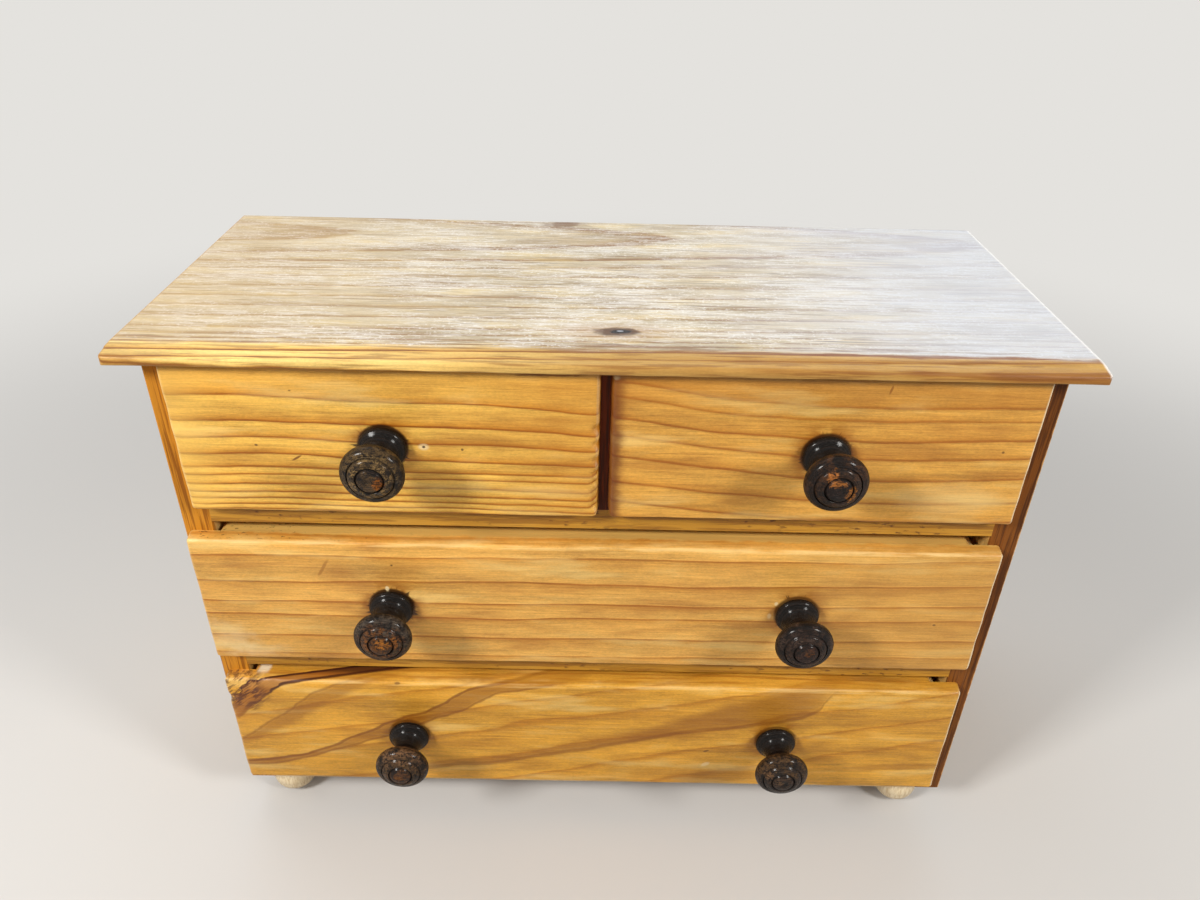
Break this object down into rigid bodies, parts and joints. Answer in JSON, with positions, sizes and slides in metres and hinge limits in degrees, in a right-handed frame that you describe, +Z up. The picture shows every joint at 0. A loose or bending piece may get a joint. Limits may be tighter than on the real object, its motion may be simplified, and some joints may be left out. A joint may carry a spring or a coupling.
{
  "type": "desktop mini drawers",
  "caption": "Miniature varnished pine chest of drawers for a desk, with short drawers over wide ones, dark turned knobs and pale ball feet.",
  "frame": {"origin": "on the ground below the middle of the chest's bounding box, knobs included", "axes": "+X to the right seen from the front, +Y to the back, +Z up"},
  "size_m": [0.421, 0.2066, 0.2984],
  "materials": {
    "pine_top": "worn varnish, washed out, satin",
    "pine_varnished": "gloss varnish, honey coloured",
    "pine_raw": "raw",
    "ply": "raw",
    "knob_stained": "dark stain and gloss, worn on the raised rings",
    "foot_pale": "plain turned, satin",
    "steel": "plain, slightly dull"
  },
  "bodies": {
    "case": {"top_board": "pine_top", "side_panel_left": "pine_varnished", "side_panel_right": "pine_varnished", "shelf_upper": "pine_varnished", "shelf_lower": "pine_varnished", "centre_divider": "pine_varnished", "bottom_board": "pine_raw", "back_panel": "ply", "guide_middle_left": "pine_raw", "guide_middle_right": "pine_raw", "guide_bottom_left": "pine_raw", "guide_bottom_right": "pine_raw", "foot_front_left": "foot_pale", "foot_front_right": "foot_pale", "foot_rear_left": "foot_pale", "foot_rear_right": "foot_pale", "top_nails": "steel", "back_pins": "steel"},
    "drawer_top_left": {"front_top_left": "pine_varnished", "side_left_top_left": "pine_raw", "side_right_top_left": "pine_raw", "back_top_left": "pine_raw", "floor_top_left": "ply", "knob_top_left": "knob_stained", "pins_top_left": "steel", "knob_screws_top_left": "steel"},
    "drawer_top_right": {"front_top_right": "pine_varnished", "side_left_top_right": "pine_raw", "side_right_top_right": "pine_raw", "back_top_right": "pine_raw", "floor_top_right": "ply", "knob_top_right": "knob_stained", "pins_top_right": "steel", "knob_screws_top_right": "steel"},
    "drawer_middle": {"front_middle": "pine_varnished", "side_left_middle": "pine_raw", "side_right_middle": "pine_raw", "back_middle": "pine_raw", "floor_middle": "ply", "knob_middle_left": "knob_stained", "knob_middle_right": "knob_stained", "pins_middle": "steel", "knob_screws_middle": "steel"},
    "drawer_bottom": {"front_bottom": "pine_varnished", "side_left_bottom": "pine_raw", "side_right_bottom": "pine_raw", "back_bottom": "pine_raw", "floor_bottom": "ply", "knob_bottom_left": "knob_stained", "knob_bottom_right": "knob_stained", "pins_bottom": "steel", "knob_screws_bottom": "steel"}
  },
  "joints": [
    {"name": "slide_top_left", "type": "slide", "parent": "case", "child": "drawer_top_left", "axis": [0, -1, 0], "range_m": [0, 0.12]},
    {"name": "slide_top_right", "type": "slide", "parent": "case", "child": "drawer_top_right", "axis": [0, -1, 0], "range_m": [0, 0.12]},
    {"name": "slide_middle", "type": "slide", "parent": "case", "child": "drawer_middle", "axis": [0, -1, 0], "range_m": [0, 0.12]},
    {"name": "slide_bottom", "type": "slide", "parent": "case", "child": "drawer_bottom", "axis": [0, -1, 0], "range_m": [0, 0.12]}
  ]
}
